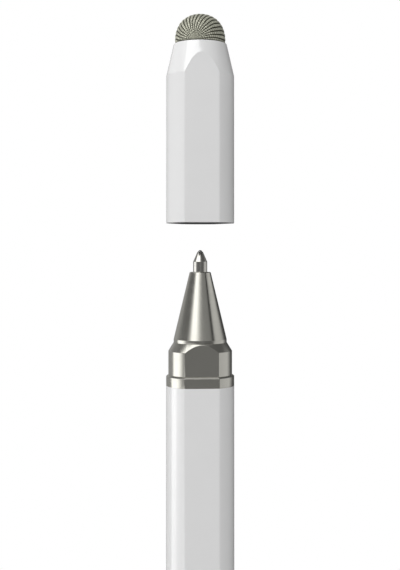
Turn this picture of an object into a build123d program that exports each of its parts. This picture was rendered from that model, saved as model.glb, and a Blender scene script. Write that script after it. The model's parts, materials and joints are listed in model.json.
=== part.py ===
from build123d import *
import os
from math import cos, pi, sin, sqrt

# A stylus pen: a ballpoint pen whose cap carries a fibre-mesh tip for touch screens.
# It stands on its tail with the writing point up, and the cap hovers above the point.
# Millimetres, pen axis on +Z, origin in the middle of the tail face, one flat facing -Y.

# Section that barrel, collar and cap share: a round bar with equal flats
BARREL_RADIUS = 5.0
FLAT_COUNT = 3
FLAT_DISTANCE = 4.33

# Barrel and tail
BARREL_LENGTH = 103.8
BARREL_BORE = 3.6
TAIL_FLANGE = 1.2
TAIL_CHAMFER = 0.35
TAIL_SPIGOT = 8.0
GUIDE_LENGTH = 24.0
GUIDE_BORE = 2.3
GUIDE_LEAD_IN = 0.5

# Collar and cap seat
COLLAR_HEIGHT = 1.6
COLLAR_CHAMFER = 0.15
COLLAR_CHAMFER_HEIGHT = 0.25
SEAT_STRAIGHT = 3.48
SEAT_CHAMFER_HEIGHT = 1.2
SEAT_SPIGOT = 10.0
SEAT_PASSAGE = 1.9

# Nose cone
NOSE_BASE_RADIUS = 3.9
NOSE_FRONT_RADIUS = 1.54
NOSE_FRONT_ROUND = 0.12
NOSE_BAND = 0.5
NOSE_CONE_LENGTH = 9.85
NOSE_LAND = 1.6
NOSE_BORE = 1.65
NOSE_STEP = 0.03
THREAD_RADIUS = 2.75
THREAD_DEPTH = 0.2
THREAD_LENGTH = 7.0
THREAD_RELIEF = 0.5

# Refill
POINT_SHANK_RADIUS = 1.04
POINT_SHANK_SHOWN = 1.5
POINT_CONE_LENGTH = 1.46
POINT_LIP = 0.06
POINT_FLANGE = 0.8
POINT_BARB = 4.0
POINT_CHANNEL = 0.25
BALL_RADIUS = 0.35
BALL_SHOWN = 0.24
TUBE_RADIUS = 1.5
TUBE_WALL = 0.45
INK_LENGTH = 62.0
FOLLOWER_LENGTH = 4.0
TAIL_STOP_RADIUS = 1.95
TAIL_STOP_HEIGHT = 1.3
TAIL_STOP_STEM = 3.0
TAIL_STOP_VENT = 0.3

# Refill spring
SPRING_WIRE = 0.2
WIRE_SIDES = 8
SPRING_RADIUS = 1.75
SPRING_LENGTH = 12.71
SPRING_TURNS = 7
ARCS_PER_TURN = 2

# Cap
CAP_WALL = 0.25
CAP_CONE_HEIGHT = 4.68
CAP_RIM_RADIUS = 3.92
CAP_RIM_ROUND = 0.05
CAP_MOUTH_BEVEL = 0.1
CAP_LIFT = 22.16
INNER_CAP_BORE = 3.3
INNER_CAP_ROOM = 0.8
INNER_CAP_FLOOR = 0.8
FINGER_LENGTH = 3.8
FINGER_WIDTH = 3.2
FINGER_THICKNESS = 0.55
FINGER_BEAD = 0.6

# Touch tip
DOME_RADIUS = 3.75
DOME_STRAIGHT = 0.66
MESH_THICKNESS = 0.35
HOLDER_HEIGHT = 3.1
HOLDER_SUNK = 1.83
STEM_RADIUS = 1.5
STEM_DISC = 1.3
STEM_BOSS = 1.8
CLAMP_HEIGHT = 1.5

# Clearances
FIT = 0.02
CAP_CLEARANCE = 0.07
RUNNING_CLEARANCE = 0.05
BALL_CLEARANCE = 0.01
GRIP_CLEARANCE = 0.06
FINGER_CLEARANCE = 0.1
SPRING_CLEARANCE = 0.02

# Heights of the pen's own seats, from the tail up
barrel_bottom = TAIL_FLANGE
barrel_top = barrel_bottom + BARREL_LENGTH
collar_top = barrel_top + COLLAR_HEIGHT
seat_edge = collar_top + SEAT_STRAIGHT
seat_top = seat_edge + SEAT_CHAMFER_HEIGHT
cone_base = seat_top + NOSE_BAND
nose_front = cone_base + NOSE_CONE_LENGTH
nose_shoulder = nose_front - NOSE_LAND
thread_bottom = seat_top - THREAD_LENGTH
spring_seat = barrel_bottom + TAIL_SPIGOT

# Heights of the refill
flange_top = nose_shoulder - FIT
tube_top = flange_top - POINT_FLANGE
tail_stop_bottom = spring_seat + SPRING_LENGTH
tube_bottom = tail_stop_bottom + TAIL_STOP_HEIGHT
shank_top = nose_front + POINT_SHANK_SHOWN
point_lip = shank_top + POINT_CONE_LENGTH
ball_centre = point_lip + BALL_SHOWN - BALL_RADIUS
tube_bore = TUBE_RADIUS - TUBE_WALL
barb_bottom = tube_top - POINT_BARB

# Heights of the cap and the touch tip
cap_mouth = collar_top + CAP_LIFT
finger_end = seat_top + FINGER_CLEARANCE + CAP_LIFT
inner_cap_skirt = finger_end + FINGER_LENGTH
inner_cap_floor = ball_centre + BALL_RADIUS + INNER_CAP_ROOM + CAP_LIFT
holder_bottom = inner_cap_floor + INNER_CAP_FLOOR
holder_top = holder_bottom + HOLDER_HEIGHT
cap_shoulder = holder_bottom + HOLDER_SUNK
cap_rim = cap_shoulder + CAP_CONE_HEIGHT
core_bottom = holder_top + STEM_DISC
dome_centre = cap_rim + DOME_STRAIGHT

# Radii that follow from the walls and clearances
seat_radius = BARREL_RADIUS - CAP_WALL - CAP_CLEARANCE
seat_flat = FLAT_DISTANCE - CAP_WALL - CAP_CLEARANCE
core_radius = DOME_RADIUS - MESH_THICKNESS - FIT
cone_slope = (BARREL_RADIUS - CAP_RIM_RADIUS) / CAP_CONE_HEIGHT
wall_on_cone = CAP_WALL * sqrt(1 + cone_slope**2)


def turned(*outline):
    """A solid of revolution about the pen axis from a closed outline of (radius, height) points."""
    return revolve(Plane.XZ * make_face(Polyline(*outline, close=True)), Axis.Z)


def rod(radius, bottom, top):
    """A round bar on the pen axis."""
    return Pos(0, 0, bottom) * Cylinder(
        radius, top - bottom, align=(Align.CENTER, Align.CENTER, Align.MIN)
    )


def tube(outer, inner, bottom, top):
    """A round tube on the pen axis."""
    return rod(outer, bottom, top) - rod(inner, bottom, top)


def flats(distance, bottom, top):
    """A prism whose sides are the flats, the first of them facing -Y."""
    section = RegularPolygon(distance, FLAT_COUNT, major_radius=False, rotation=90)
    return extrude(Pos(0, 0, bottom) * section, amount=top - bottom)


def flatted_rod(radius, distance, bottom, top):
    """A length of the shared section: a round bar with its flats cut."""
    return rod(radius, bottom, top) & flats(distance, bottom, top)


def cap_cavity(gap, bottom, top):
    """The room inside the cap's wall, less a gap all round, between two heights."""
    inside = BARREL_RADIUS - CAP_WALL - gap
    rim_inside = CAP_RIM_RADIUS - wall_on_cone - gap
    bend = cap_rim - (inside - rim_inside) / cone_slope
    room = turned((0, cap_mouth), (inside, cap_mouth), (inside, bend), (rim_inside, cap_rim), (0, cap_rim))
    return room & flats(FLAT_DISTANCE - CAP_WALL - gap, bottom, top)


def edges_at(solid, height):
    """The edges that lie flat at one height."""
    return solid.edges().filter_by_position(Axis.Z, height, height)


def barrel():
    body = flatted_rod(BARREL_RADIUS, FLAT_DISTANCE, barrel_bottom, barrel_top)
    return body - rod(BARREL_BORE, barrel_bottom, barrel_top)


def tail_plug():
    flange = flatted_rod(BARREL_RADIUS, FLAT_DISTANCE, 0, TAIL_FLANGE)
    flange = chamfer(edges_at(flange, 0), TAIL_CHAMFER)
    return flange + rod(BARREL_BORE - FIT, TAIL_FLANGE, spring_seat)


def spring_guide():
    top = spring_seat + GUIDE_LENGTH
    sleeve = tube(BARREL_BORE - FIT, GUIDE_BORE, spring_seat, top)
    lead_in = Pos(0, 0, top - GUIDE_LEAD_IN) * Cone(
        GUIDE_BORE, GUIDE_BORE + GUIDE_LEAD_IN, GUIDE_LEAD_IN, align=(Align.CENTER, Align.CENTER, Align.MIN)
    )
    return sleeve - lead_in


def helix_point(turn, bottom, pitch):
    """A point on the spring's centre line and its unit direction there, after a number of turns."""
    angle = 2 * pi * turn
    rise = pitch / (2 * pi)
    place = Vector(SPRING_RADIUS * cos(angle), SPRING_RADIUS * sin(angle), bottom + pitch * turn)
    return place, Vector(-SPRING_RADIUS * sin(angle), SPRING_RADIUS * cos(angle), rise).normalized()


def helix_arcs(start, start_way, end, end_way):
    """Two arcs, tangent where they meet, that follow the helix between two of its points."""
    chord = end - start
    ways = start_way + end_way
    both = 2 * (1 - start_way.dot(end_way))
    along = chord.dot(ways)
    reach = (-along + sqrt(along**2 + both * chord.dot(chord))) / both
    first, second = start + start_way * reach, end - end_way * reach
    middle = (first + second) * 0.5
    return [
        Edge.make_tangent_arc(start, start_way, middle),
        Edge.make_tangent_arc(middle, second - first, end),
    ]


def refill_spring():
    bottom = spring_seat + SPRING_CLEARANCE + SPRING_WIRE
    top = tail_stop_bottom - SPRING_CLEARANCE - SPRING_WIRE
    pitch = (top - bottom) / SPRING_TURNS
    stops = [helix_point(i / ARCS_PER_TURN, bottom, pitch) for i in range(SPRING_TURNS * ARCS_PER_TURN + 1)]
    arcs = [arc for a, b in zip(stops, stops[1:]) for arc in helix_arcs(*a, *b)]
    print(f"refill spring: gap between turns {pitch - 2 * SPRING_WIRE:.2f} mm")
    start, way = stops[0]
    return sweep(Plane(start, z_dir=way) * RegularPolygon(SPRING_WIRE, WIRE_SIDES), path=Wire(arcs))


def refill_tail_stop():
    stop = rod(TAIL_STOP_RADIUS, tail_stop_bottom, tube_bottom)
    stop += rod(tube_bore - FIT, tube_bottom, tube_bottom + TAIL_STOP_STEM)
    return stop - rod(TAIL_STOP_VENT, tail_stop_bottom, tube_bottom + TAIL_STOP_STEM)


def refill_tube():
    return tube(TUBE_RADIUS, tube_bore, tube_bottom, tube_top)


def ink_column():
    return rod(tube_bore - FIT, barb_bottom - INK_LENGTH, barb_bottom)


def ink_follower():
    top = barb_bottom - INK_LENGTH
    return rod(tube_bore - FIT, top - FOLLOWER_LENGTH, top)


def refill_point():
    socket = BALL_RADIUS + BALL_CLEARANCE
    lip_radius = sqrt(socket**2 - (point_lip - ball_centre) ** 2) + POINT_LIP
    point = turned(
        (0, barb_bottom),
        (tube_bore - FIT, barb_bottom),
        (tube_bore - FIT, tube_top),
        (TUBE_RADIUS, tube_top),
        (TUBE_RADIUS, flange_top),
        (POINT_SHANK_RADIUS, flange_top),
        (POINT_SHANK_RADIUS, shank_top),
        (lip_radius, point_lip),
        (0, point_lip),
    )
    return point - Pos(0, 0, ball_centre) * Sphere(socket) - rod(POINT_CHANNEL, barb_bottom, ball_centre)


def point_ball():
    return Pos(0, 0, ball_centre) * Sphere(BALL_RADIUS)


def cap_seat():
    body = turned(
        (0, collar_top),
        (seat_radius, collar_top),
        (seat_radius, seat_edge),
        (NOSE_BASE_RADIUS + NOSE_STEP, seat_top),
        (0, seat_top),
    )
    body &= flats(seat_flat, collar_top, seat_top)
    body += rod(BARREL_BORE - FIT, barrel_top - SEAT_SPIGOT, collar_top)
    body -= rod(THREAD_RADIUS + THREAD_DEPTH, thread_bottom - THREAD_RELIEF, seat_top)
    return body - rod(SEAT_PASSAGE, barrel_top - SEAT_SPIGOT, seat_top)


def collar_ring():
    ring = flatted_rod(BARREL_RADIUS, FLAT_DISTANCE, barrel_top, collar_top)
    top_face = ring.faces().sort_by(Axis.Z)[-1]
    ring = chamfer(top_face.edges(), COLLAR_CHAMFER, COLLAR_CHAMFER_HEIGHT, reference=top_face)
    return ring - rod(BARREL_BORE, barrel_top, collar_top)


def nose_cone():
    body = turned(
        (0, thread_bottom),
        (THREAD_RADIUS, thread_bottom),
        (THREAD_RADIUS, seat_top),
        (NOSE_BASE_RADIUS, seat_top),
        (NOSE_BASE_RADIUS, cone_base),
        (NOSE_FRONT_RADIUS, nose_front),
        (0, nose_front),
    )
    body = fillet(edges_at(body, nose_front), NOSE_FRONT_ROUND)
    body -= rod(NOSE_BORE, thread_bottom, nose_shoulder)
    return body - rod(POINT_SHANK_RADIUS + RUNNING_CLEARANCE, nose_shoulder, nose_front)


def cap_shell():
    body = turned(
        (0, cap_mouth),
        (BARREL_RADIUS, cap_mouth),
        (BARREL_RADIUS, cap_shoulder),
        (CAP_RIM_RADIUS, cap_rim),
        (0, cap_rim),
    )
    body &= flats(FLAT_DISTANCE, cap_mouth, cap_rim)
    body = chamfer(edges_at(body, cap_mouth), CAP_MOUTH_BEVEL)
    body = fillet(edges_at(body, cap_rim), CAP_RIM_ROUND)
    return body - cap_cavity(0, cap_mouth, cap_rim) - rod(DOME_RADIUS + FIT, holder_top, cap_rim)


def inner_cap():
    cup = cap_cavity(FIT, inner_cap_skirt, holder_bottom)
    cup -= rod(INNER_CAP_BORE, inner_cap_skirt, inner_cap_floor)
    arm = cap_cavity(FIT, finger_end, inner_cap_skirt)
    arm_inside = BARREL_RADIUS - CAP_WALL - FIT - FINGER_THICKNESS
    bead_inside = NOSE_BASE_RADIUS + GRIP_CLEARANCE
    bead_top = finger_end + FINGER_BEAD
    arm -= turned(
        (0, finger_end),
        (bead_inside, finger_end),
        (bead_inside, bead_top),
        (arm_inside, bead_top + FINGER_BEAD),
        (arm_inside, inner_cap_skirt),
        (0, inner_cap_skirt),
    )
    for i in range(FLAT_COUNT):
        corner = Rot(0, 0, 90 + i * 360 / FLAT_COUNT) * Pos(0, 0, finger_end)
        reach = Box(BARREL_RADIUS, FINGER_WIDTH, FINGER_LENGTH, align=(Align.MIN, Align.CENTER, Align.MIN))
        cup += arm & (corner * reach)
    return cup


def tip_holder():
    return cap_cavity(FIT, holder_bottom, holder_top) - rod(STEM_RADIUS + FIT, holder_bottom, holder_top)


def tip_stem():
    stem = rod(STEM_RADIUS, holder_bottom, core_bottom + STEM_BOSS)
    return stem + rod(core_radius, holder_top, core_bottom)


def clamp_ring():
    top = holder_top + CLAMP_HEIGHT
    return cap_cavity(FIT, holder_top, top) - rod(DOME_RADIUS + FIT, holder_top, top)


def dome(radius, bottom):
    """A round-topped plug on the pen axis, its top a hemisphere about the dome's centre."""
    sides = Polyline((0, dome_centre + radius), (0, bottom), (radius, bottom), (radius, dome_centre))
    crown = CenterArc((0, dome_centre), radius, 0, 90)
    return revolve(Plane.XZ * make_face([*sides.edges(), crown]), Axis.Z)


def tip_core():
    return dome(core_radius, core_bottom) - rod(STEM_RADIUS + FIT, core_bottom, core_bottom + STEM_BOSS + FIT)


def tip_mesh():
    return dome(DOME_RADIUS, holder_top) - dome(DOME_RADIUS - MESH_THICKNESS, holder_top)


PIECES = [
    barrel,
    tail_plug,
    spring_guide,
    refill_spring,
    refill_tail_stop,
    refill_tube,
    ink_column,
    ink_follower,
    refill_point,
    point_ball,
    cap_seat,
    collar_ring,
    nose_cone,
    cap_shell,
    inner_cap,
    tip_holder,
    tip_stem,
    clamp_ring,
    tip_core,
    tip_mesh,
]

os.makedirs("parts", exist_ok=True)
for piece in PIECES:
    export_step(piece(), f"parts/{piece.__name__}.step")
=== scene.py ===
"""The finished look of a stylus pen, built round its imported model.

A ballpoint pen with long flats on a lacquered barrel, a turned metal front end, and a lifted cap
whose end is a knitted dome for touch screens. Metres, with the pen's axis on +Z.
"""

import json
import math

import bmesh
import bpy
import numpy as np
from bpy.props import FloatProperty, FloatVectorProperty, IntProperty, PointerProperty
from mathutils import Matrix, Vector


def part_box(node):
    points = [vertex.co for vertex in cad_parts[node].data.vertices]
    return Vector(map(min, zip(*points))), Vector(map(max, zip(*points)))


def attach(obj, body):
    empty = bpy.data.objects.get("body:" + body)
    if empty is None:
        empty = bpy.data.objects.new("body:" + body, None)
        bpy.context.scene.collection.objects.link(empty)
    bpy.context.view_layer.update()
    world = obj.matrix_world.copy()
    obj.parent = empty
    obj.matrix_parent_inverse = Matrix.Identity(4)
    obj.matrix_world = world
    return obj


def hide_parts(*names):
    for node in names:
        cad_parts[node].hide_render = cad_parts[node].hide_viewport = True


bl_info = {
    "name": "Stylus Pen",
    "version": (1, 0, 0),
    "blender": (4, 5, 0),
    "location": "3D View > Sidebar > Pen",
    "description": "Builds the lacquer, the turned metal and the knitted tip of a stylus pen",
    "category": "Object",
}

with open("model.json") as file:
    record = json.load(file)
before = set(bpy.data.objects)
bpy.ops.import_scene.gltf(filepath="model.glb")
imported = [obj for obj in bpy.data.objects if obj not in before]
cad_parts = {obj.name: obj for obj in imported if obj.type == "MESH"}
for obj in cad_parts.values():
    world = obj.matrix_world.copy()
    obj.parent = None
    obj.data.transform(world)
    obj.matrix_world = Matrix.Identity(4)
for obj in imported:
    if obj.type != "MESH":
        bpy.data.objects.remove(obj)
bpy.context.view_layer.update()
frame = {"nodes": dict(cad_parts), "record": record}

MM = 0.001
FULL_TURN = 2 * math.pi
QUARTER_TURN = math.pi / 2

# The flats of the shared section: the first faces -Y
FLAT_COUNT = 3
FIRST_FLAT = -QUARTER_TURN
FLAT_PITCH = FULL_TURN / FLAT_COUNT

# How finely the meshes are divided
FLAT_STEPS = 30
EDGE_STEPS = 10
ARC_STEPS = 20
ROUND_STEPS = 120
SOFT_STEPS = 4
SOCKET_STEPS = 12
BALL_STEPS = 33
CORE_STEPS = 24
STEPS_ON_THREAD_TURN = 12
STEPS_ON_RIB = 12
ROWS_ON_RIB = 260
CARD_STEPS = 180
FLOOR_STEPS = 96

# The largest share of an edge that a softened corner takes
SOFT_SHARE = 0.45

# Small lengths: still reached, at the same place, and just enough to divide by
REACHED = 1e-6
SAME_PLACE = 1e-8
NOT_ZERO = 1e-12


def points_of(node):
    """The distance from the pen axis and the height of each of a node's points."""
    return [(math.hypot(v.co.x, v.co.y), v.co.z) for v in frame["nodes"][node].data.vertices]


def radius_of(node, above=-math.inf):
    """The largest distance of a node from the pen axis, above a height."""
    return max(radius for radius, height in points_of(node) if height > above)


def height_of(node, reach):
    """The highest level at which a node still reaches a radius."""
    return max(height for radius, height in points_of(node) if radius > reach - REACHED)


def radius_of_shank():
    """The radius of the writing point's shank, which stands out of the nose."""
    return radius_of("refill_point", above=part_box("nose_cone")[1].z + REACHED)


def length(name, description, millimetres):
    """A length that a user may change."""
    return FloatProperty(
        name=name, description=description, default=millimetres * MM, min=0.0, precision=5, unit="LENGTH"
    )


def angle(name, description, degrees):
    """An angle that a user may change."""
    return FloatProperty(name=name, description=description, default=math.radians(degrees), subtype="ANGLE")


def colour(name, description, *shade):
    """A colour that a user may change."""
    return FloatVectorProperty(
        name=name, description=description, default=shade, size=3, min=0.0, max=1.0, subtype="COLOR"
    )


def share(name, description, value, highest=1.0):
    """A plain number that a user may change."""
    return FloatProperty(name=name, description=description, default=value, min=0.0, max=highest)


class PenSizes(bpy.types.PropertyGroup):
    """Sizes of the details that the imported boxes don't give."""

    lacquer_blend: length("Lacquer edge", "Rounding of lacquered edges between arcs and flats", 0.06)
    metal_blend: length("Metal edge", "Rounding of metal edges between arcs and flats", 0.02)
    crease: length("Crease", "How far the small edges of lacquer and metal are softened", 0.04)
    close_fit: length("Close fit", "Gap round pieces that sit in one another", 0.02)
    barrel_bore: length("Barrel bore", "Radius of the bore through the barrel", 3.6)
    collar_chamfer: length("Collar chamfer", "Chamfer round the collar's top", 0.2)
    tail_chamfer: length("Tail chamfer", "Chamfer round the tail face", 0.35)
    seat_straight: length("Seat straight", "Height of the cap seat's wall above the collar", 3.48)
    seat_passage: length("Seat passage", "Radius of the refill's way through the cap seat", 1.9)
    seat_ledge: length("Seat ledge", "Width of the cap seat's top that shows round the nose", 0.03)
    nose_front: length("Nose front", "Radius of the nose cone at its front", 1.54)
    nose_front_round: length("Nose front round", "Softening of the nose cone's front edge", 0.16)
    nose_bore: length("Nose bore", "Radius of the bore inside the nose cone", 1.65)
    nose_land: length("Nose land", "Length of the nose's close fit round the point", 1.6)
    stem_radius: length("Stem radius", "Radius of the nose's stem under its thread", 2.75)
    thread_pitch: length("Thread pitch", "Rise of the nose's thread in one turn", 0.75)
    thread_depth: length("Thread depth", "Height of the thread's ridge on the nose's stem", 0.18)
    thread_relief: length("Thread relief", "Room in the cap seat under the nose's stem", 0.5)
    point_clearance: length("Point clearance", "Gap between the nose and the point's shank", 0.05)
    point_barb: length("Point barb", "Radius of the point's end in the refill's tube", 1.03)
    ink_channel: length("Ink channel", "Radius of the ink's way to the ball", 0.25)
    socket_gap: length("Socket gap", "Gap between the ball and its socket", 0.01)
    socket_lip: length("Socket lip", "Width of the socket's edge round the ball", 0.06)
    cap_rim: length("Cap rim", "Radius of the cap's small end", 3.92)
    cap_wall: length("Cap wall", "Thickness of the cap's wall", 0.25)
    mouth_bevel: length("Mouth bevel", "Bevel round the cap's mouth", 0.06)
    core_hole: length("Core hole", "Radius of the hole in the core for the stem's boss", 1.52)
    core_foot: length("Core foot", "Softening of the core's foot", 0.25)


class KnitSettings(bpy.types.PropertyGroup):
    """The knitted dome: ribs that fan out from a spot on its front."""

    rib_count: IntProperty(name="Ribs", description="Ribs in a full turn about the spot", default=37, min=8)
    rib_width: share("Rib width", "Width of a rib as a share of its spacing", 0.7)
    rib_depth: length("Rib depth", "Depth of the gaps between the ribs", 0.09)
    swirl: angle("Swirl", "Turn of each rib on its way round the dome", 29)
    stitch_count: IntProperty(name="Stitches", description="Stitches along a rib", default=33, min=1)
    stitch_depth: share("Stitch depth", "Depth between stitches as a share of the rib's depth", 0.8)
    stitch_lean: share("Stitch lean", "Lean of a stitch's two legs as a share of its length", 0.45)
    first_rib: share("First rib", "Where the first rib starts, as a share of the spacing", 0.67)
    uneven: share("Uneven", "How far stitches differ in height and place", 0.3)
    spot_azimuth: angle("Spot azimuth", "Where the ribs meet, round the pen from the front flat", -14.6)
    spot_elevation: angle("Spot elevation", "Where the ribs meet, above the dome's widest level", -8.3)
    crown: length("Crown", "How far the knit's top stands above a half sphere", 0.12)
    fullness: length("Fullness", "How far the knit swells between its widest level and its top", 0.1)
    tuck: length("Tuck", "Length of the knit tucked into the cap's end", 1.2)


class FinishSettings(bpy.types.PropertyGroup):
    """Colours and gloss of the pen's materials."""

    lacquer: colour("Lacquer", "White lacquer of barrel and cap", 0.80, 0.80, 0.80)
    # The unlacquered inside's colour, also painted shade on the cap's mouth bevel
    bare: colour("Bare inside", "Unlacquered inside of barrel and cap", 0.14, 0.14, 0.143)
    nickel: colour("Nickel", "Polished metal of the front end", 0.64, 0.63, 0.575)
    point: colour("Point", "Drawn alloy of the writing point", 0.68, 0.67, 0.63)
    ball: colour("Ball", "Hard metal of the writing ball", 0.76, 0.76, 0.75)
    steel: colour("Spring steel", "Drawn wire of the refill spring", 0.55, 0.55, 0.56)
    brass: colour("Brass", "Turned brass of the tip's stem and ring", 0.72, 0.53, 0.24)
    tube: colour("Refill tube", "Milky plastic of the refill", 0.78, 0.79, 0.77)
    ink: colour("Ink", "Ink in the refill", 0.012, 0.013, 0.03)
    grease: colour("Grease", "Plug of grease behind the ink", 0.62, 0.55, 0.30)
    plastic: colour("Inner plastic", "Moulded plastic inside barrel and cap", 0.055, 0.055, 0.058)
    core: colour("Core", "Foamed core under the knit", 0.06, 0.06, 0.058)
    strand: colour("Strand", "Crests of the knitted ribs", 0.90, 0.90, 0.745)
    # The gap colour is painted shade in the gaps between the ribs and on the knit by the cap's rim
    gap: colour("Gap", "Gaps between the knitted ribs", 0.03, 0.03, 0.019)


class StageSettings(bpy.types.PropertyGroup):
    """Camera, lamps and cards round the pen."""

    camera_azimuth: angle("Camera azimuth", "Camera's place round the pen from the front flat", -3.6)
    camera_distance: length("Camera distance", "From the camera to the pen axis", 153.3)
    eye_level: length("Eye level", "Height of the camera", 124.2)
    pitch: angle("Pitch", "How far the camera looks up", 0.8)
    lens: FloatProperty(name="Lens", description="Focal length in millimetres", default=65.8, min=1.0)
    aside: FloatProperty(name="Aside", description="Shift of the picture on its sensor", default=-0.0003)
    drop: FloatProperty(name="Drop", description="Shift of the picture down its sensor", default=0.0792)
    ambient: share("Ambient", "Brightness of the room's soft light on the object", 0.48)
    strip: share("Left strip", "Radiance of the low strip lamp on the left", 2.85, 100.0)
    key: share("Key softbox", "Radiance of the softbox above on the left", 5.1, 100.0)
    top: share("Top lamp", "Radiance of the small lamp over the left side", 9.0, 100.0)
    cards: share("Cards", "Brightness of the cards that show in reflections", 1.0, 10.0)
    metal_limit: share("Metal limit", "Brightest card that the metal shows", 1.75, 10.0)


def direction(azimuth, elevation):
    """A unit vector from the pen: azimuth from the front flat towards +X, elevation above level."""
    return Vector((
        math.sin(azimuth) * math.cos(elevation),
        -math.cos(azimuth) * math.cos(elevation),
        math.sin(elevation),
    ))


# Meshes


def section_angles(radius, distance, blend):
    """Angles round the flatted section, close together at the edges between flats and arcs."""
    edge = math.acos(distance / radius)
    near = 2 * blend / (radius * math.tan(edge))
    next_edge = FLAT_PITCH - edge
    stops = [near - edge, edge - near, edge + near, next_edge - near, next_edge + near]
    counts = [FLAT_STEPS, EDGE_STEPS, ARC_STEPS, EDGE_STEPS]
    runs = [np.linspace(*run, endpoint=False) for run in zip(stops, stops[1:], counts)]
    once = FIRST_FLAT + np.concatenate(runs)
    return np.concatenate([once + i * FLAT_PITCH for i in range(FLAT_COUNT)])


def section_radius(angles, radius, distance, blend):
    """The section's radius at each angle: the arc's or the nearer flat's, with a rounded edge."""
    off = (angles - FIRST_FLAT + FLAT_PITCH / 2) % FLAT_PITCH - FLAT_PITCH / 2
    flat = distance / np.cos(off)
    arc = np.clip(0.5 + (flat - radius) / (2 * blend), 0, 1)
    return flat + (radius - flat) * arc - blend * arc * (1 - arc)


def flatted(node, blend):
    """The box of a node with flats, with angles round its section and its wall at each."""
    low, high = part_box(node)
    radius, distance = radius_of(node), -low.y
    angles = section_angles(radius, distance, blend)
    return low, high, angles, section_radius(angles, radius, distance, blend)


def round_angles():
    """Even angles for a piece without flats."""
    return np.linspace(0, FULL_TURN, ROUND_STEPS, endpoint=False)


def outlines(angles, crease, *corners):
    """One outline for each angle from (radius, height) corners, outer wall upwards.

    The crease softens each corner, unless it has a third number of its own.
    """
    spots = [np.stack(np.broadcast_arrays(r, z, angles)[:2], axis=-1) for r, z, *_ in corners]
    parts = []
    for i, (_, _, *own) in enumerate(corners):
        here = spots[i]
        softening = own[0] if own else crease
        if not softening:
            parts.append(here[:, None])
            continue
        ends = []
        for other in (spots[i - 1], spots[(i + 1) % len(spots)]):
            leg = other - here
            span = np.linalg.norm(leg, axis=-1, keepdims=True) + NOT_ZERO
            ends.append(here + leg * np.minimum(softening / span, SOFT_SHARE))
        t = np.linspace(0, 1, SOFT_STEPS + 1)[None, :, None]
        start, bend, end = ends[0][:, None], here[:, None], ends[1][:, None]
        parts.append((1 - t) ** 2 * start + 2 * t * (1 - t) * bend + t**2 * end)
    return np.concatenate(parts, axis=1)


def round_rows(radius, centre, start, steps):
    """Rows up a ball's outline from an angle to its top; they lie on the axis at its ends."""
    rows = []
    for turn in np.linspace(start, QUARTER_TURN, steps):
        out = 0 if math.isclose(abs(turn), QUARTER_TURN) else radius * math.cos(turn)
        rows.append((out, centre + radius * math.sin(turn), 0))
    return rows


def grid_mesh(name, points, closed):
    """A smooth mesh from a grid of points whose columns close round the axis, and whose rows may."""
    columns, rows = points.shape[:2]
    index = np.arange(columns * rows).reshape(columns, rows)
    beside = np.roll(index, -1, axis=0)
    quads = np.stack([index, beside, np.roll(beside, -1, axis=1), np.roll(index, -1, axis=1)], axis=-1)
    if not closed:
        quads = quads[:, :-1]
    mesh = bpy.data.meshes.new(name)
    mesh.from_pydata(points.reshape(-1, 3).tolist(), [], quads.reshape(-1, 4).tolist())
    mesh.shade_smooth()
    return mesh


def join_poles(mesh, lowest=None):
    """Joins the points that meet at a pole, and drops what lies below a height."""
    shape = bmesh.new()
    shape.from_mesh(mesh)
    bmesh.ops.remove_doubles(shape, verts=shape.verts, dist=SAME_PLACE)
    if lowest is not None:
        everything = [*shape.verts, *shape.edges, *shape.faces]
        bmesh.ops.bisect_plane(
            shape, geom=everything, plane_co=(0, 0, lowest), plane_no=(0, 0, -1), clear_outer=True
        )
    shape.to_mesh(mesh)
    shape.free()


def turned_mesh(name, angles, lines):
    """A mesh whose columns are outlines set at angles round the pen axis."""
    radius, height = lines[..., 0], lines[..., 1]
    around = angles[:, None]
    points = np.stack([radius * np.cos(around), radius * np.sin(around), height], axis=-1)
    mesh = grid_mesh(name, points, radius.min() > 0)
    join_poles(mesh)
    return mesh


def add_object(name, data):
    """An object in the scene."""
    thing = bpy.data.objects.new(name, data)
    bpy.context.scene.collection.objects.link(thing)
    return thing


def add_piece(name, mesh, body, slot, *nodes):
    """A piece of the object that rides on a body, takes a slot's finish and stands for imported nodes."""
    piece = add_object(name, mesh)
    mesh.materials.append(finish(slot))
    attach(piece, body)
    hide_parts(*nodes)
    return piece


def add_turned(name, angles, lines, body, slot, *nodes):
    """A turned or flatted piece whose broad faces keep their own shading next to small edges."""
    piece = add_piece(name, turned_mesh(name, angles, lines), body, slot, *nodes)
    piece.modifiers.new("Weighted normals", "WEIGHTED_NORMAL")
    return piece


def mark_points(mesh, name, values):
    """A number on each of a mesh's points, for its material."""
    numbers = np.asarray(values, dtype=np.float32).ravel()
    mesh.attributes.new(name, "FLOAT", "POINT").data.foreach_set("value", numbers)


def mark_bare(piece, rows, corners, edge=0):
    """Marks a lacquered tube as unlacquered from a count of softened corners on, and gives its first rows
    the same dark tone as painted shade.
    """
    row = np.arange(rows)
    bare = (row >= corners * (SOFT_STEPS + 1)) | (row < edge)
    mark_points(piece.data, "bare", np.tile(bare, len(piece.data.vertices) // rows))


# Materials


def set_inputs(tree, node, values):
    """Sets or links a node's inputs: a socket links, a value is set."""
    for key, value in values.items():
        if isinstance(value, bpy.types.NodeSocket):
            tree.links.new(value, node.inputs[key])
        else:
            node.inputs[key].default_value = value


def add_node(tree, kind, inputs=None, **settings):
    """A node with its settings made and its inputs set or linked."""
    node = tree.nodes.new(kind)
    for key, value in settings.items():
        setattr(node, key, value)
    set_inputs(tree, node, inputs or {})
    return node


def maths(tree, operation, first, second, **settings):
    """Two numbers worked together; each is a plain number or comes from a node."""
    numbers = {0: first, 1: second}
    return add_node(tree, "ShaderNodeMath", numbers, operation=operation, **settings).outputs[0]


def vary(tree, mask, low, high):
    """A mask stretched between two values."""
    values = {"Value": mask, "To Min": low, "To Max": high}
    return add_node(tree, "ShaderNodeMapRange", values).outputs["Result"]


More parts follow.
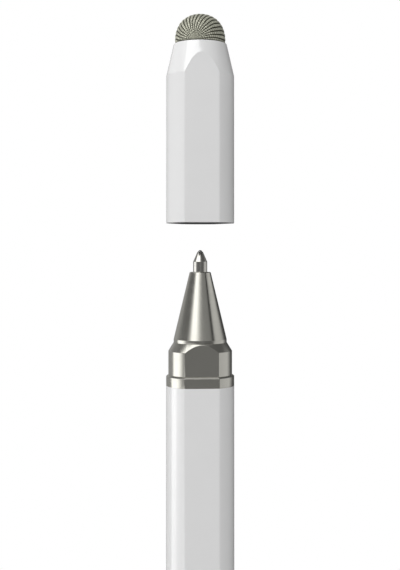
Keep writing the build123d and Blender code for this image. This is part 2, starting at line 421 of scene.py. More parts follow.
def mix(tree, mask, *colours):
    """Two colours mixed by a mask; each is a plain colour or comes from a node."""
    first, second = [c if isinstance(c, bpy.types.NodeSocket) else (*c, 1) for c in colours]
    # A mix node's colours are its inputs 6 and 7 and its output 2
    return add_node(tree, "ShaderNodeMix", {0: mask, 6: first, 7: second}, data_type="RGBA").outputs[2]


def mottle(tree, mask, tint, dark, light):
    """A colour that a mask makes darker and lighter by two factors."""
    ends = [[min(1.0, part * factor) for part in tint] for factor in (dark, light)]
    return mix(tree, mask, *ends)


def bump(tree, height, distance):
    """A bumped normal, its height in metres."""
    return add_node(tree, "ShaderNodeBump", {"Height": height, "Distance": distance}).outputs["Normal"]


def new_group(name, inputs, outputs):
    """A shader node group with named number inputs and outputs, with its two end nodes."""
    tree = bpy.data.node_groups.new(name, "ShaderNodeTree")
    for label, value in inputs.items():
        socket = tree.interface.new_socket(label, in_out="INPUT", socket_type="NodeSocketFloat")
        socket.default_value = value
    for label in outputs:
        tree.interface.new_socket(label, in_out="OUTPUT", socket_type="NodeSocketFloat")
    return tree, tree.nodes.new("NodeGroupInput").outputs, tree.nodes.new("NodeGroupOutput").inputs


def use_group(tree, build, **values):
    """A group placed in a material with the material's own values, built when first asked for."""
    group = bpy.data.node_groups.get(build.__name__) or build()
    return add_node(tree, "ShaderNodeGroup", values, node_tree=group).outputs


def turning_marks():
    """Fine rings left by a lathe tool: their height and how far they dull the metal."""
    tree, given, put = new_group("turning_marks", {"Pitch": 0.03}, ["Height", "Dulling"])
    place = add_node(tree, "ShaderNodeTexCoord").outputs["Object"]
    parts = add_node(tree, "ShaderNodeSeparateXYZ", {0: place}).outputs
    across = add_node(tree, "ShaderNodeCombineXYZ", {0: parts[0], 1: parts[1]}).outputs[0]
    out = add_node(tree, "ShaderNodeVectorMath", {0: across}, operation="LENGTH").outputs["Value"]
    along = maths(tree, "ADD", parts[2], out)
    in_mm = maths(tree, "MULTIPLY", along, 1 / MM)
    rings = maths(tree, "DIVIDE", in_mm, given["Pitch"])
    for label, scale, detail in (("Height", 1.0, 2.0), ("Dulling", 0.06, 3.0)):
        values = {"W": rings, "Scale": scale, "Detail": detail}
        noise = add_node(tree, "ShaderNodeTexNoise", values, noise_dimensions="1D")
        tree.links.new(noise.outputs["Fac"], put[label])
    return tree


def cloudy():
    """A soft uneven mask, such as handling leaves on gloss."""
    tree, given, put = new_group("cloudy", {"Scale": 300.0, "Detail": 3.0}, ["Mask"])
    place = add_node(tree, "ShaderNodeTexCoord").outputs["Object"]
    values = {"Vector": place, "Scale": given["Scale"], "Detail": given["Detail"]}
    noise = add_node(tree, "ShaderNodeTexNoise", values)
    tree.links.new(noise.outputs["Fac"], put["Mask"])
    return tree


def white_lacquer(tree, tints):
    """Pigmented lacquer under a clear coat, with a faint orange-peel."""
    haze = use_group(tree, cloudy, Scale=250.0)["Mask"]
    peel = use_group(tree, cloudy, Scale=1400.0, Detail=1.0)["Mask"]
    # The mark: the unlacquered inside, and painted shade on the cap's mouth bevel
    bare = add_node(tree, "ShaderNodeAttribute", attribute_name="bare").outputs["Fac"]
    return {
        "Base Color": mix(tree, bare, mottle(tree, haze, tints.lacquer, 0.985, 1.015), tints.bare),
        "Specular IOR Level": 0.0,
        "Coat Weight": vary(tree, bare, 1.0, 0.0),
        "Coat Roughness": 0.04,
        "Coat IOR": 1.5,
        "Roughness": vary(tree, haze, 0.42, 0.5),
        "Normal": bump(tree, peel, 1.5e-6),
    }


def turned_metal(tree, tints, tint, rough, pitch, mark):
    """A bright turned metal whose tool rings have a pitch in millimetres and a height in metres."""
    marks = use_group(tree, turning_marks, Pitch=pitch)
    haze = use_group(tree, cloudy, Scale=500.0)["Mask"]
    return {
        "Base Color": mottle(tree, haze, getattr(tints, tint), 0.96, 1.04),
        "Metallic": 1.0,
        "Roughness": vary(tree, marks["Dulling"], rough * 0.8, rough * 1.2),
        "Normal": bump(tree, marks["Height"], mark),
    }


def ball_carbide(tree, tints):
    """Ground hard metal with a film of ink here and there."""
    film = use_group(tree, cloudy, Scale=4000.0)["Mask"]
    return {
        "Base Color": mottle(tree, film, tints.ball, 0.8, 1.15),
        "Metallic": 1.0,
        "Roughness": vary(tree, film, 0.1, 0.24),
    }


def moulded(tree, tints, tint, rough, grain, milky=0, depth=0):
    """A plastic or soft material: its grain has a height, and it may be milky to a depth, in metres."""
    haze = use_group(tree, cloudy, Scale=600.0)["Mask"]
    return {
        "Base Color": mottle(tree, haze, getattr(tints, tint), 0.94, 1.06),
        "Subsurface Weight": milky,
        "Subsurface Scale": depth,
        "Roughness": vary(tree, haze, rough * 0.9, rough * 1.1),
        "Normal": bump(tree, use_group(tree, cloudy, Scale=6000.0)["Mask"], grain),
    }


def fibre_mesh(tree, tints):
    """Knitted metal-coated fibre: pale crests, gaps and the knit by the cap's rim darkened as painted
    shade, and fine strands across the ribs.
    """
    height = add_node(tree, "ShaderNodeAttribute", attribute_name="strand_height").outputs["Fac"]
    fuzz = use_group(tree, cloudy, Scale=9000.0, Detail=2.0)["Mask"]
    uneven = maths(tree, "MULTIPLY", height, vary(tree, fuzz, 0.5, 1.4), use_clamp=True)
    return {
        # The dark gap colour is painted shade
        "Base Color": mix(tree, uneven, tints.gap, tints.strand),
        "Metallic": vary(tree, height, 0.0, 0.45),
        "Specular IOR Level": 0.1,
        "Sheen Weight": 0.04,
        "Sheen Roughness": 0.4,
        "Roughness": vary(tree, fuzz, 0.3, 0.45),
        "Normal": bump(tree, fuzz, 1.2e-5),
    }


# For each of the record's slots, its builder and what the builder is told beyond the tints
FINISHES = {
    "white_lacquer": (white_lacquer,),
    "polished_nickel": (turned_metal, "nickel", 0.2, 0.05, 2.5e-7),
    "point_alloy": (turned_metal, "point", 0.14, 0.02, 1e-7),
    "spring_steel": (turned_metal, "steel", 0.3, 0.02, 1e-7),
    "brass": (turned_metal, "brass", 0.25, 0.06, 4e-7),
    "ball_carbide": (ball_carbide,),
    "refill_plastic": (moulded, "tube", 0.3, 1e-6, 0.3, 0.5 * MM),
    "ink": (moulded, "ink", 0.12, 5e-7),
    "follower_grease": (moulded, "grease", 0.2, 2e-6, 0.4, 0.6 * MM),
    "inner_plastic": (moulded, "plastic", 0.5, 4e-6),
    "soft_core": (moulded, "core", 0.75, 2e-5),
    "fibre_mesh": (fibre_mesh,),
}


def finish(slot):
    """The material of one of the record's slots, built the first time it is asked for."""
    material = bpy.data.materials.get("pen_" + slot)
    if not material:
        material = bpy.data.materials.new("pen_" + slot)
        material.use_nodes = True
        tree = material.node_tree
        build, *told = FINISHES[slot]
        inputs = build(tree, bpy.context.scene.pen_finish, *told)
        set_inputs(tree, tree.nodes["Principled BSDF"], inputs)
    return material


# Pieces


class PEN_OT_barrel(bpy.types.Operator):
    """Builds the lacquered barrel and its metal tail plug"""

    bl_idname = "pen.barrel"
    bl_label = "Barrel"

    def execute(self, context):
        sizes = context.scene.pen_sizes
        low, high, angles, wall = flatted("barrel", sizes.lacquer_blend)
        lines = outlines(
            angles,
            sizes.crease,
            (wall, low.z),
            (wall, high.z, sizes.crease / 4),
            (sizes.barrel_bore, high.z),
            (sizes.barrel_bore, low.z),
        )
        piece = add_turned("lacquered_barrel", angles, lines, "barrel", "white_lacquer", "barrel")
        mark_bare(piece, lines.shape[1], 2)
        tail_low, tail_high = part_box("tail_plug")
        spigot = sizes.barrel_bore - sizes.close_fit
        lines = outlines(
            angles,
            sizes.crease,
            (0, tail_low.z, 0),
            (wall - sizes.tail_chamfer, tail_low.z),
            (wall, tail_low.z + sizes.tail_chamfer),
            (wall, low.z),
            (spigot, low.z),
            (spigot, tail_high.z),
            (0, tail_high.z, 0),
        )
        add_turned("turned_tail_plug", angles, lines, "barrel", "polished_nickel", "tail_plug")
        return {"FINISHED"}


class PEN_OT_front(bpy.types.Operator):
    """Builds the collar and the cap seat with its arched flats"""

    bl_idname = "pen.front"
    bl_label = "Collar and cap seat"

    def execute(self, context):
        sizes = context.scene.pen_sizes
        low, high, angles, wall = flatted("collar_ring", sizes.metal_blend)
        lines = outlines(
            angles,
            sizes.crease,
            (wall, low.z, sizes.crease / 4),
            (wall, high.z - sizes.collar_chamfer),
            (wall - sizes.collar_chamfer, high.z),
            (sizes.barrel_bore, high.z),
            (sizes.barrel_bore, low.z),
        )
        add_turned("collar", angles, lines, "barrel", "polished_nickel", "collar_ring")
        self.cap_seat(sizes, high.z)
        return {"FINISHED"}

    def cap_seat(self, sizes, collar_top):
        """The nut that the cap slides over: its flats run up its chamfer as arches."""
        low, high, angles, wall = flatted("cap_seat", sizes.metal_blend)
        top = radius_of("nose_cone") + sizes.seat_ledge
        edge = collar_top + sizes.seat_straight
        arch = high.z - (high.z - edge) * (wall - top) / (radius_of("cap_seat") - top)
        spigot = sizes.barrel_bore - sizes.close_fit
        bore = sizes.stem_radius + sizes.thread_depth + sizes.close_fit
        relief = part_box("nose_cone")[0].z - sizes.thread_relief
        lines = outlines(
            angles,
            sizes.crease,
            (spigot, low.z),
            (spigot, collar_top),
            (wall, collar_top),
            (wall, arch),
            (top, high.z),
            (bore, high.z),
            (bore, relief),
            (sizes.seat_passage, relief),
            (sizes.seat_passage, low.z),
        )
        add_turned("cap_seat_nut", angles, lines, "barrel", "polished_nickel", "cap_seat")


# How steeply the thread's ridge rises from the half of the pitch that it stands on
RIDGE_SLOPE = 2.7


class PEN_OT_nose(bpy.types.Operator):
    """Builds the turned nose cone with its band and its threaded stem"""

    bl_idname = "pen.nose"
    bl_label = "Nose cone"

    def execute(self, context):
        sizes = context.scene.pen_sizes
        low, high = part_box("nose_cone")
        seat_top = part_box("cap_seat")[1].z
        base = radius_of("nose_cone")
        cone_base = height_of("nose_cone", base)
        land = radius_of_shank() + sizes.point_clearance
        shoulder = high.z - sizes.nose_land
        turns = (seat_top - low.z) / sizes.thread_pitch
        angles = round_angles()
        stem_rows = [
            (sizes.stem_radius, z, 0)
            for z in np.linspace(low.z, seat_top, round(turns * STEPS_ON_THREAD_TURN) + 1)
        ]
        lines = outlines(
            angles,
            sizes.crease,
            *stem_rows,
            (base, seat_top),
            (base, cone_base, sizes.crease / 2),
            (sizes.nose_front, high.z, sizes.nose_front_round),
            (land, high.z),
            (land, shoulder),
            (sizes.nose_bore, shoulder),
            (sizes.nose_bore, low.z),
        )
        rows = slice(len(stem_rows))
        above = (lines[:, rows, 1] - low.z) / sizes.thread_pitch
        rise = above - angles[:, None] / FULL_TURN
        ridge = np.clip(RIDGE_SLOPE * (0.5 - 2 * np.abs(rise % 1 - 0.5)), 0, 1)
        run_out = np.clip(above, 0, 1) * np.clip(turns - above, 0, 1)
        lines[:, rows, 0] += sizes.thread_depth * ridge * run_out
        add_turned("turned_nose_cone", angles, lines, "nose", "polished_nickel", "nose_cone")
        return {"FINISHED"}


class PEN_OT_refill(bpy.types.Operator):
    """Builds the writing point and its ball"""

    bl_idname = "pen.refill"
    bl_label = "Writing point"

    def execute(self, context):
        sizes = context.scene.pen_sizes
        low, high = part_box("refill_point")
        ball_low, ball_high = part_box("point_ball")
        ball = (ball_high.z - ball_low.z) / 2
        centre = ball_low.z + ball
        shank = radius_of_shank()
        shank_top = height_of("refill_point", shank)
        flange = radius_of("refill_point")
        flange_top = height_of("refill_point", flange)
        tube_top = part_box("refill_tube")[1].z
        barb = sizes.point_barb
        socket = ball + sizes.socket_gap
        first = math.asin((high.z - centre) / socket)
        last = -math.acos(sizes.ink_channel / socket)
        lip = socket * math.cos(first) + sizes.socket_lip
        angles = round_angles()
        lines = outlines(
            angles,
            sizes.crease / 4,
            (sizes.ink_channel, low.z),
            (barb, low.z),
            (barb, tube_top),
            (flange, tube_top),
            (flange, flange_top),
            (shank, flange_top),
            (shank, flange_top + sizes.crease, 0),
            (shank, shank_top - sizes.crease, 0),
            (shank, shank_top),
            (lip, high.z),
            *[
                (socket * math.cos(turn), centre + socket * math.sin(turn), 0)
                for turn in np.linspace(first, last, SOCKET_STEPS)
            ],
        )
        add_turned("writing_point", angles, lines, "refill", "point_alloy", "refill_point")
        lines = outlines(angles, 0, *round_rows(ball, centre, -QUARTER_TURN, BALL_STEPS))
        add_turned("writing_ball", angles, lines, "ball", "ball_carbide", "point_ball")
        return {"FINISHED"}


class PEN_OT_cap(bpy.types.Operator):
    """Builds the cap's thin lacquered shell"""

    bl_idname = "pen.cap"
    bl_label = "Cap"

    def execute(self, context):
        sizes = context.scene.pen_sizes
        low, high, angles, wall = flatted("cap_shell", sizes.lacquer_blend)
        radius = radius_of("cap_shell")
        shoulder = height_of("cap_shell", radius)
        inner_flat = -low.y - sizes.cap_wall
        inner = section_radius(angles, radius - sizes.cap_wall, inner_flat, sizes.lacquer_blend)
        slope = (radius - sizes.cap_rim) / (high.z - shoulder)
        arch = high.z - (wall - sizes.cap_rim) / slope
        thick = sizes.cap_wall * math.hypot(1, slope)
        inner_rim = sizes.cap_rim - thick
        inner_arch = high.z - (inner - inner_rim) / slope
        knit = radius_of("tip_mesh") + sizes.close_fit
        step = high.z - (knit - inner_rim) / slope
        lines = outlines(
            angles,
            sizes.crease,
            (wall - sizes.mouth_bevel, low.z, sizes.crease / 3),
            (wall, low.z + sizes.mouth_bevel),
            (wall, arch, sizes.crease * 2),
            (sizes.cap_rim, high.z),
            (knit, high.z, sizes.crease / 2),
            (knit, step, 0),
            (inner, inner_arch),
            (inner, low.z, sizes.crease / 3),
        )
        piece = add_turned("lacquered_cap", angles, lines, "cap", "white_lacquer", "cap_shell")
        # The mouth's bevel takes the dark tone of the unlacquered inside as painted shade
        painted_shade_rows = SOFT_STEPS + 3
        mark_bare(piece, lines.shape[1], 4, edge=painted_shade_rows)
        return {"FINISHED"}


# Gaps between the ribs, as a share of their spacing, and the spacing below which ribs blur to one tone
DEEPEST_GAP = 0.4
BLUR_SPACING = 0.2 * MM
BLUR_TONE = 0.34
# Painted shade on the knit where the cap's rim pinches it: how high above the rim it reaches, and the share
# of the knit's tone left at the rim
PAINTED_RIM_SHADE_HEIGHT = 0.3 * MM
PAINTED_RIM_SHADE = 0.3
# Waver of the ribs: its share of the unevenness, its pace along a rib, and how it shifts round the spot
WAVER = 0.15
WAVER_PACE = 9
WAVER_SHIFT = 2.4
WAVER_SHIFT_PACE = 5
# Groove between a stitch's two legs, in shares of a rib's height and half width
GROOVE_DEPTH = 0.3
GROOVE_WIDTH = 0.22
# The draws that make stitches uneven, with room for those that shift past a rib's end
STITCH_SEED = 7
SPARE_STITCHES = 3


class PEN_OT_tip(bpy.types.Operator):
    """Builds the knitted dome and the soft core under it"""

    bl_idname = "pen.tip"
    bl_label = "Touch tip"

    def execute(self, context):
        knit = context.scene.pen_knit
        radius = radius_of("tip_mesh")
        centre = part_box("tip_mesh")[1].z - radius
        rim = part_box("cap_shell")[1].z
        pole = direction(knit.spot_azimuth, knit.spot_elevation)
        side = pole.cross(Vector((0, 0, 1))).normalized()
        over = side.cross(pole)
        across = np.linspace(0, math.pi, ROWS_ON_RIB)[None, :]
        around = np.linspace(0, FULL_TURN, knit.rib_count * STEPS_ON_RIB, endpoint=False)[:, None]
        ways = (
            np.cos(across)[..., None] * np.array(pole)
            + (np.sin(across) * np.cos(around))[..., None] * np.array(side)
            + (np.sin(across) * np.sin(around))[..., None] * np.array(over)
        )
        strand = self.strand(knit, around, across)
        spacing = FULL_TURN * radius * np.sin(across) / knit.rib_count
        depth = np.minimum(knit.rib_depth, DEEPEST_GAP * spacing)
        x, y, up = np.moveaxis(ways, -1, 0)
        rise = np.clip(up, 0, 1) ** 2
        swell = 1 - depth * (1 - strand) / radius
        swell *= 1 + knit.fullness / radius * 4 * rise * (1 - rise)
        crown = swell * (1 + knit.crown / radius)
        level = centre + radius * np.where(up > 0, up * crown, np.arcsin(np.clip(up, -1, 0)))
        out = radius * swell * np.where(up < 0, 1 / (np.hypot(x, y) + NOT_ZERO), 1.0)
        mesh = grid_mesh("knitted_dome", np.stack([out * x, out * y, level], axis=-1), False)
        fade = np.clip(spacing / BLUR_SPACING, 0, 1)
        # The knit darkens towards the cap's rim as painted shade
        painted_rim_shade = np.clip((level - rim) / PAINTED_RIM_SHADE_HEIGHT, PAINTED_RIM_SHADE, 1)
        # This mark sets the knit's colour too: low values take the dark gap colour as painted shade
        mark_points(mesh, "strand_height", (strand * fade + BLUR_TONE * (1 - fade)) * painted_rim_shade)
        join_poles(mesh, rim - knit.tuck)
        piece = add_piece("knitted_dome", mesh, "cap", "fibre_mesh", "tip_mesh")
        self.core(context.scene.pen_sizes, centre)
        return {"FINISHED"}

    def strand(self, knit, around, across):
        """Height of the knit, from 0 in a gap to 1 on a crest: ribs of stitches with two leaning legs."""
        chance = np.random.default_rng(STITCH_SEED)
        rib = (around - knit.swirl * across / math.pi) * knit.rib_count / FULL_TURN + knit.first_rib
        waver = np.sin(WAVER_PACE * across + WAVER_SHIFT * np.sin(WAVER_SHIFT_PACE * around))
        rib = rib + knit.uneven * WAVER * waver
        which = np.floor(rib).astype(int) % knit.rib_count
        off = (2 * (rib % 1) - 1) / knit.rib_width
        crest = np.sqrt(np.clip(1 - off**2, 0, 1))
        crest = crest * (1 - GROOVE_DEPTH * np.exp(-((off / GROOVE_WIDTH) ** 2)))
        shift = chance.random(knit.rib_count)[which]
        along = across / math.pi * knit.stitch_count + shift + knit.stitch_lean * np.abs(off)
        stitch = 0.5 + 0.5 * np.cos(FULL_TURN * along)
        fulls = chance.random((knit.rib_count, knit.stitch_count + SPARE_STITCHES))
        full = 1 - knit.uneven * fulls[which, np.floor(along).astype(int)]
        return crest * full * (1 - knit.stitch_depth * stitch**2)

    def core(self, sizes, centre):
        """The foamed core: a dome with a hole for the stem's boss, a little slack at its foot."""
        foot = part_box("tip_core")[0].z
        radius = radius_of("tip_core")
        boss_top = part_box("tip_stem")[1].z + sizes.close_fit
        angles = round_angles()
        lines = outlines(
            angles,
            sizes.crease,
            (0, boss_top, 0),
            (sizes.core_hole, boss_top),
            (sizes.core_hole, foot),
            (radius, foot, sizes.core_foot),
            *round_rows(radius, centre, 0, CORE_STEPS),
        )
        piece = add_turned("foam_core", angles, lines, "cap", "soft_core", "tip_core")


class PEN_OT_inner(bpy.types.Operator):
    """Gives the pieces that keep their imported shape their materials"""

    bl_idname = "pen.inner"
    bl_label = "Inner pieces"

    def execute(self, context):
        for part in frame["record"]["subparts"]:
            node = frame["nodes"][part["node"]]
            for place in node.material_slots:
                place.material = finish(part["material_slot"])
        return {"FINISHED"}


# Stage

# Bands of cards round the pen, each named for what mirrors most of it towards the camera: its lower and
# upper height, then its brightness at degrees from the camera, from the back past the left
CARD_DISTANCE = 0.62
CARD_BANDS = {
    "barrel": (-0.35, -0.10, {
        -180: 0.33, -130: 0.34, -114: 0.34, -110: 2.5, -88: 2.5, -84: 1.3, -63: 0.6, -60: 1, -45: 2,
        -41: 2.5, -20: 0.7, -8: 0.21, 13: 0.21, 22: 0.13, 50: 0.13, 57: 0.1, 64: 0.45, 71: 0.5,
        114: 0.5, 126: 0.25, 138: 0.08, 165: 0.08,
    }),
    "collar and seat": (0, 0.122, {
        -180: 0.33, -130: 0.34, -114: 0.34, -110: 2.8, -95: 4.5, -88: 4, -84: 2, -63: 0.38, -60: 0.34,
        -45: 0.18, -41: 0.15, -20: 0.13, -8: 0.15, 2: 0.2, 13: 0.2, 22: 0.14, 50: 0.14, 57: 0.12,
        64: 0.45, 71: 0.57, 114: 0.64, 126: 0.35, 138: 0.1, 165: 0.1,
    }),
    "cap wall": (0.138, 0.20, {
        -180: 0.4, -114: 0.4, -110: 0.34, -95: 0.3, -84: 0.3, -63: 0.25, -60: 0.25, -45: 0.2, -41: 0.15,
        -20: 0.15, -8: 0.2, 2: 0.21, 13: 0.21, 22: 0.15, 50: 0.15, 57: 0.2, 64: 0.36, 71: 0.4, 114: 0.4,
        126: 0.15, 138: 0.05, 165: 0.05,
    }),
    "nose flanks": (0.29, 0.33, {
        -180: 0.5, -130: 0.32, -110: 0.17, -95: 0.15, -88: 0.14, -60: 0.14, -45: 0.7, -41: 1.8,
        -20: 1.8, -8: 0.9, 2: 0.36, 13: 0.3, 22: 0.3, 50: 0.28, 57: 0.02, 64: 0.02, 71: 0.68, 114: 0.74,
        126: 0.5, 138: 0.12, 165: 0.12,
    }),
    "nose": (0.37, 0.44, {
        -180: 0.4, -130: 0.28, -114: 0.26, -95: 0.26, -88: 0.2, -84: 0.15, -60: 0.15, -45: 0.7,
        -41: 1.8, -20: 1.8, -8: 0.9, 2: 0.36, 13: 0.3, 22: 0.3, 50: 0.28, 57: 0.02, 64: 0.02, 71: 0.3,
        114: 0.3, 138: 0.1, 165: 0.1,
    }),
    "cap cone flanks": (0.47, 0.50, {
        -180: 0.4, -130: 0.28, -114: 0.26, -95: 0.26, -88: 0.3, -84: 0.6, -63: 1, -60: 6, -8: 6, 2: 3,
        13: 0.5, 22: 0.2, 50: 0.15, 57: 0.12, 126: 0.12, 138: 0.1, 165: 0.1,
    }),
    "cap cone": (0.56, 0.62, {
        -180: 0.22, -130: 0.2, -95: 0.2, -88: 0.3, -84: 2.3, -63: 2.3, -60: 6, -20: 6, -8: 6.8, 2: 3,
        13: 1, 22: 0.2, 50: 0.12, 126: 0.12, 138: 0.1, 165: 0.1,
    }),
    "point": (0.68, 0.95, {
        -180: 0.22, -130: 0.2, -95: 0.2, -88: 0.25, -84: 0.25, -63: 3.5, -60: 6, -20: 6, -8: 5, 2: 0.6,
        13: 0.3, 22: 0.2, 50: 0.12, 126: 0.12, 138: 0.1, 165: 0.1,
    }),
    "seat chamfer": (1.02, 1.50, {
        -180: 0.25, -84: 0.25, -63: 0.4, -60: 1.2, -45: 1.7, -8: 1.7, 2: 0.6, 13: 0.35, 22: 0.3,
        50: 0.2, 165: 0.2,
    }),
}
# A further card at the left's back for the lacquer and the knit, and the bands that it stands in
SIDE_CARD = {-180: 0.2, -130: 0.55, -95: 0.55, -84: 0}
SIDE_BANDS = ("nose", "cap cone flanks")
# The lid over the cards: height and distance from the pen axis of its edges, and its brightness
LID = [(1.55, 0.50), (1.60, 0.02)]
LID_LEVEL = 0.5
# The bright cards stand a little nearer than the grey ones
BRIGHT_SCALE = 0.98

WHITE = (1, 1, 1, 1)
FLOOR_COLOUR = (0.86, 0.86, 0.86, 1)
# The floor starts to fade at one distance from the pen axis and ends at the other
FLOOR_FADE = (0.04, 0.24)
CAMERA_REACH = (0.01, 10)


def stage_material(name):
    """An empty material for the stage, with its node tree and its output socket."""
    material = bpy.data.materials.new(name)
    material.use_nodes = True
    tree = material.node_tree
    tree.nodes.clear()
    return material, tree, add_node(tree, "ShaderNodeOutputMaterial").inputs["Surface"]


def background_rays(tree):
    """1 for the rays that meet the white background: the camera's, glossy and transmitted ones."""
    path = add_node(tree, "ShaderNodeLightPath").outputs
    seen = path["Is Camera Ray"]
    for kind in ("Is Glossy Ray", "Is Transmission Ray"):
        seen = maths(tree, "MAXIMUM", seen, path[kind])
    return seen


def add_stage(name, points, faces, material):
    """An object of the stage."""
    mesh = bpy.data.meshes.new(name)
    mesh.from_pydata(points, [], faces)
    mesh.materials.append(material)
    thing = add_object(name, mesh)
    return thing


class PEN_OT_stage(bpy.types.Operator):
    """Builds the floor, the white room, the lamps, the cards and the camera"""

    bl_idname = "pen.stage"
    bl_label = "Stage"

    def execute(self, context):
        stage = context.scene.pen_stage
        context.scene.view_settings.view_transform = "Standard"
        self.room(context.scene, stage.ambient)
        self.floor()
        self.lamps(stage)
        self.cards(stage)
        self.camera(context.scene, stage)
        return {"FINISHED"}

    def room(self, scene, ambient):
        """A white room for the camera and for reflections, dimmer as a light on the object."""
        scene.world = bpy.data.worlds.new("White room")
        scene.world.use_nodes = True
        tree = scene.world.node_tree
        level = vary(tree, background_rays(tree), ambient, 1.0)
        set_inputs(tree, tree.nodes["Background"], {"Color": WHITE, "Strength": level})

    def floor(self):
        """A pale floor that keeps the shadow, fades into the white room and doesn't show from below."""
        inner, outer = FLOOR_FADE
        material, tree, surface = stage_material("pale_floor")
        place = add_node(tree, "ShaderNodeTexCoord").outputs["Object"]
        away = add_node(tree, "ShaderNodeVectorMath", {0: place}, operation="LENGTH").outputs["Value"]
        fade = add_node(
            tree,
            "ShaderNodeMapRange",
            {"Value": away, "From Min": inner, "From Max": outer},
            interpolation_type="SMOOTHSTEP",
        ).outputs["Result"]
        seen = maths(tree, "MULTIPLY", fade, background_rays(tree))
        paper = add_node(tree, "ShaderNodeBsdfDiffuse", {"Color": FLOOR_COLOUR}).outputs[0]
        clear = add_node(tree, "ShaderNodeBsdfTransparent").outputs[0]
        white = add_node(tree, "ShaderNodeEmission", {"Color": WHITE}).outputs[0]
        camera = add_node(tree, "ShaderNodeLightPath").outputs["Is Camera Ray"]
        beyond = add_node(tree, "ShaderNodeMixShader", {0: camera, 1: clear, 2: white}).outputs[0]
        above = add_node(tree, "ShaderNodeMixShader", {0: seen, 1: paper, 2: beyond}).outputs[0]
        under = add_node(tree, "ShaderNodeNewGeometry").outputs["Backfacing"]
        shader = add_node(tree, "ShaderNodeMixShader", {0: under, 1: above, 2: clear}).outputs[0]
        tree.links.new(shader, surface)
        turns = [FULL_TURN * i / FLOOR_STEPS for i in range(FLOOR_STEPS)]
        edge = [(outer * math.cos(turn), outer * math.sin(turn), 0) for turn in turns]
        add_stage("floor", edge, [list(range(FLOOR_STEPS))], material)

    def lamps(self, stage):
        """A low strip on the left, a softbox above on the left and a small lamp over it."""
        self.softbox(
            stage, "left_strip", stage.strip,
            azimuth=-101, elevation=-7, level=0.105, distance=0.3, width=0.14, height=0.115,
        )
        self.softbox(
            stage, "key_softbox", stage.key,
            azimuth=-28, elevation=27, level=0.125, distance=0.5, width=0.26, height=0.22,
        )
        self.softbox(
            stage, "top_lamp", stage.top,
            azimuth=-60, elevation=66, level=0.11, distance=0.4, width=0.1, height=0.1,
        )

    def softbox(self, stage, name, radiance, azimuth, elevation, level, distance, width, height):
        """A lamp that faces a level on the pen axis from degrees round the camera's side and above it."""
        light = bpy.data.lights.new(name, "AREA")
        light.shape = "RECTANGLE"
        light.size, light.size_y = width, height
        light.energy = radiance * math.pi * width * height
        lamp = add_object(name, light)
        way = direction(stage.camera_azimuth + math.radians(azimuth), math.radians(elevation))
        lamp.location = Vector((0, 0, level)) + way * distance
        lamp.rotation_mode = "QUATERNION"
        lamp.rotation_quaternion = (-way).to_track_quat("-Z", "Y")
        lamp.visible_camera = False
        lamp.visible_glossy = False

    def cards(self, stage):
        """Grey cards that only reflections see, and bright ones for just the lacquer and the knit."""
        turns = np.linspace(-180, 180, CARD_STEPS, endpoint=False)
        rows, levels, beside = [], [], []
        for name, (low, high, stops) in CARD_BANDS.items():
            rows += [(low, CARD_DISTANCE), (high, CARD_DISTANCE)]
            levels += [np.interp(turns, list(stops), list(stops.values()), period=360)] * 2
            beside += [name in SIDE_BANDS] * 2
        rows += LID
        levels += [np.full(CARD_STEPS, LID_LEVEL)] * 2
        beside += [False] * 2
        levels = np.stack(levels, axis=1) * stage.cards
        self.ring("grey_cards", stage, turns, rows, np.minimum(levels, stage.metal_limit), 1.0)
        side = np.interp(turns, list(SIDE_CARD), list(SIDE_CARD.values()))
        extra = np.maximum(levels - stage.metal_limit, 0) + np.outer(side, beside)
        bright = self.ring("bright_cards", stage, turns, rows, extra, BRIGHT_SCALE)
        lit = bpy.data.collections.new("brightly_lit")
        for name in ("lacquered_barrel", "lacquered_cap", "knitted_dome"):
            lit.objects.link(bpy.data.objects[name])
        bright.light_linking.receiver_collection = lit

    def ring(self, name, stage, turns, rows, levels, scale):
        """A ring of cards whose glow follows the levels; a nearer ring lets the one behind it show."""
        material, tree, surface = stage_material(name)
        level = add_node(tree, "ShaderNodeAttribute", attribute_name="level").outputs["Fac"]
        glow = add_node(tree, "ShaderNodeEmission", {"Color": WHITE, "Strength": level}).outputs[0]
        if scale < 1:
            clear = add_node(tree, "ShaderNodeBsdfTransparent").outputs[0]
            glow = add_node(tree, "ShaderNodeAddShader", {0: glow, 1: clear}).outputs[0]
        tree.links.new(glow, surface)
        count = len(rows)
        points, faces = [], []
        for i, turn in enumerate(turns):
            way = direction(stage.camera_azimuth + math.radians(turn), 0) * scale
            points += [(way.x * away, way.y * away, height * scale) for height, away in rows]
            here, beside = i * count, (i + 1) % CARD_STEPS * count
            faces += [(here + j, beside + j, beside + j + 1, here + j + 1) for j in range(count - 1)]
        ring = add_stage(name, points, faces, material)
        mark_points(ring.data, "level", levels)
        ring.visible_camera = False
        ring.visible_diffuse = False
        ring.visible_transmission = False
        ring.visible_shadow = False
        return ring

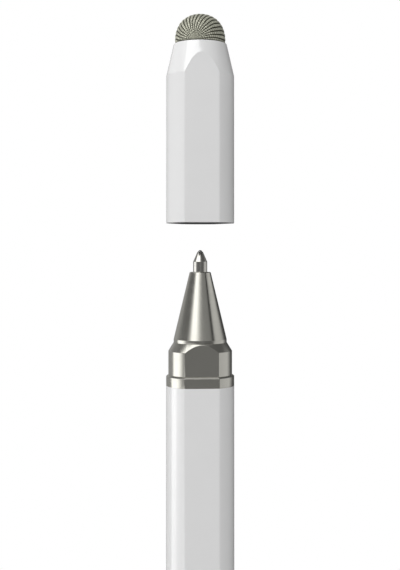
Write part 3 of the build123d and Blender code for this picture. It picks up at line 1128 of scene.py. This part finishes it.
    def camera(self, scene, stage):
        """The photograph's camera: nearly level, a little to the left of the front flat."""
        data = bpy.data.cameras.new("camera")
        data.lens = stage.lens
        eye = add_object("camera", data)
        eye.location = direction(stage.camera_azimuth, 0) * stage.camera_distance
        eye.location.z = stage.eye_level
        eye.rotation_euler = (QUARTER_TURN + stage.pitch, 0, stage.camera_azimuth)
        data.shift_x = stage.aside
        data.shift_y = -stage.drop
        data.clip_start, data.clip_end = CAMERA_REACH
        scene.camera = eye


OPERATORS = [
    PEN_OT_barrel,
    PEN_OT_front,
    PEN_OT_nose,
    PEN_OT_refill,
    PEN_OT_cap,
    PEN_OT_tip,
    PEN_OT_inner,
    PEN_OT_stage,
]
SETTINGS = {
    "pen_sizes": PenSizes,
    "pen_knit": KnitSettings,
    "pen_finish": FinishSettings,
    "pen_stage": StageSettings,
}


class PEN_PT_panel(bpy.types.Panel):
    """Lists the pen's pieces and settings"""

    bl_idname = "PEN_PT_panel"
    bl_label = "Stylus Pen"
    bl_space_type = "VIEW_3D"
    bl_region_type = "UI"
    bl_category = "Pen"

    def draw(self, context):
        for operator in OPERATORS:
            self.layout.operator(operator.bl_idname)
        for name, group in SETTINGS.items():
            box = self.layout.box()
            for key in group.__annotations__:
                box.prop(getattr(context.scene, name), key)


def register():
    for group in SETTINGS.values():
        bpy.utils.register_class(group)
    for name, group in SETTINGS.items():
        setattr(bpy.types.Scene, name, PointerProperty(type=group))
    for kind in (*OPERATORS, PEN_PT_panel):
        bpy.utils.register_class(kind)


def unregister():
    for kind in (PEN_PT_panel, *reversed(OPERATORS)):
        bpy.utils.unregister_class(kind)
    for name, group in SETTINGS.items():
        delattr(bpy.types.Scene, name)
        bpy.utils.unregister_class(group)


def main():
    register()
    bpy.ops.pen.barrel()
    bpy.ops.pen.front()
    bpy.ops.pen.nose()
    bpy.ops.pen.refill()
    bpy.ops.pen.cap()
    bpy.ops.pen.tip()
    bpy.ops.pen.inner()
    bpy.ops.pen.stage()


if __name__ == "__main__":
    main()
